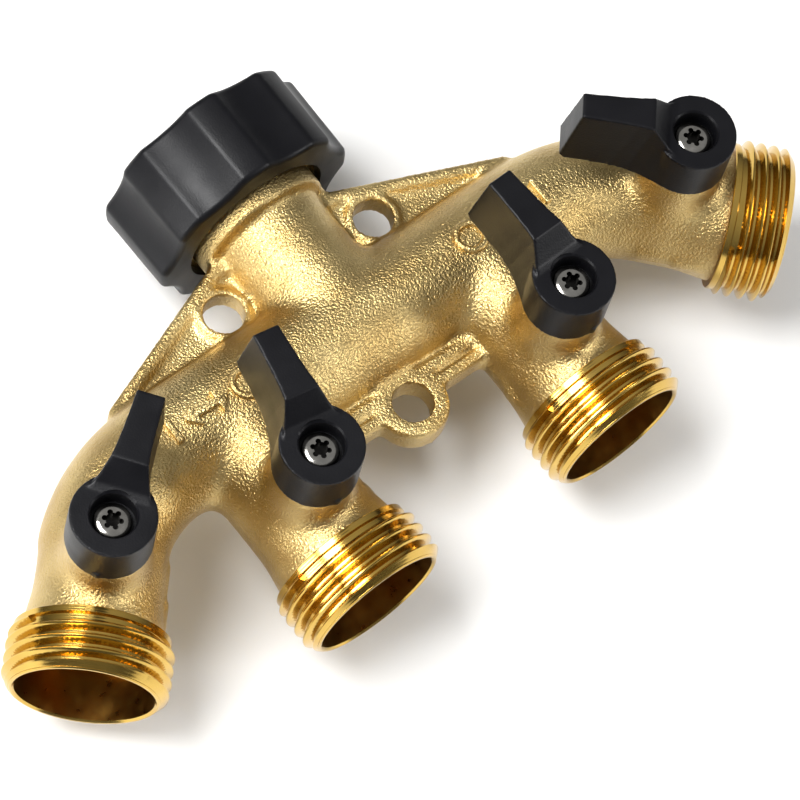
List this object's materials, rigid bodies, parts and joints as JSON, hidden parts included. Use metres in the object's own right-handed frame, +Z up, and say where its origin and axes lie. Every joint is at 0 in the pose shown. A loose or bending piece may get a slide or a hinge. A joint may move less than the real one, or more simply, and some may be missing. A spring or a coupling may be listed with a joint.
{
  "type": "hose splitter",
  "caption": "Cast brass hose splitter with a swivel inlet nut, threaded outlets, each with a quarter-turn ball valve and black lever, and screw holes in its webs.",
  "frame": {"origin": "centre of the inlet nut's open face, on the axis of its thread", "axes": "+Y out of the inlet along its axis, +X along the header tube to the right as seen from above with the inlet away from the viewer, +Z up to the levers; the axes of the inlet and all outlets lie in the plane Z = 0"},
  "size_m": [0.1661, 0.0828, 0.05],
  "materials": {
    "cast_brass": "blasted casting, satin",
    "turned_brass": "turned, bright",
    "black_plastic": "moulded, fine grain",
    "steel": "bright",
    "chromed": "polished",
    "ptfe": "waxy",
    "rubber": "matt"
  },
  "bodies": {
    "root": {"manifold_casting": "cast_brass", "swivel_clip": "steel", "upstream_seat_1": "ptfe", "upstream_seat_2": "ptfe", "upstream_seat_3": "ptfe", "upstream_seat_4": "ptfe", "downstream_seat_1": "ptfe", "downstream_seat_2": "ptfe", "downstream_seat_3": "ptfe", "downstream_seat_4": "ptfe", "seat_retainer_1": "turned_brass", "seat_retainer_2": "turned_brass", "seat_retainer_3": "turned_brass", "seat_retainer_4": "turned_brass"},
    "inlet_nut": {"swivel_grip": "black_plastic", "swivel_insert": "turned_brass", "inlet_washer": "rubber"},
    "valve_1": {"lever_1": "black_plastic", "lever_screw_1": "steel", "stem_1": "turned_brass", "stem_thrust_washer_1": "ptfe", "stem_o_rings_1": "rubber", "ball_1": "chromed"},
    "valve_2": {"lever_2": "black_plastic", "lever_screw_2": "steel", "stem_2": "turned_brass", "stem_thrust_washer_2": "ptfe", "stem_o_rings_2": "rubber", "ball_2": "chromed"},
    "valve_3": {"lever_3": "black_plastic", "lever_screw_3": "steel", "stem_3": "turned_brass", "stem_thrust_washer_3": "ptfe", "stem_o_rings_3": "rubber", "ball_3": "chromed"},
    "valve_4": {"lever_4": "black_plastic", "lever_screw_4": "steel", "stem_4": "turned_brass", "stem_thrust_washer_4": "ptfe", "stem_o_rings_4": "rubber", "ball_4": "chromed"}
  },
  "joints": [
    {"name": "inlet_nut_turn", "type": "hinge", "parent": "root", "child": "inlet_nut", "pos_m": [0, -0.012, 0], "axis": [0, 1, 0], "continuous": true},
    {"name": "valve_1_turn", "type": "hinge", "parent": "root", "child": "valve_1", "pos_m": [-0.06002, -0.05349, 0], "axis": [0, 0, 1], "range_deg": [0, 99]},
    {"name": "valve_2_turn", "type": "hinge", "parent": "root", "child": "valve_2", "pos_m": [-0.026, -0.0625, 0], "axis": [0, 0, 1], "range_deg": [0, 99]},
    {"name": "valve_3_turn", "type": "hinge", "parent": "root", "child": "valve_3", "pos_m": [0.026, -0.0625, 0], "axis": [0, 0, -1], "range_deg": [0, 92]},
    {"name": "valve_4_turn", "type": "hinge", "parent": "root", "child": "valve_4", "pos_m": [0.06002, -0.05349, 0], "axis": [0, 0, -1], "range_deg": [0, 94]}
  ]
}
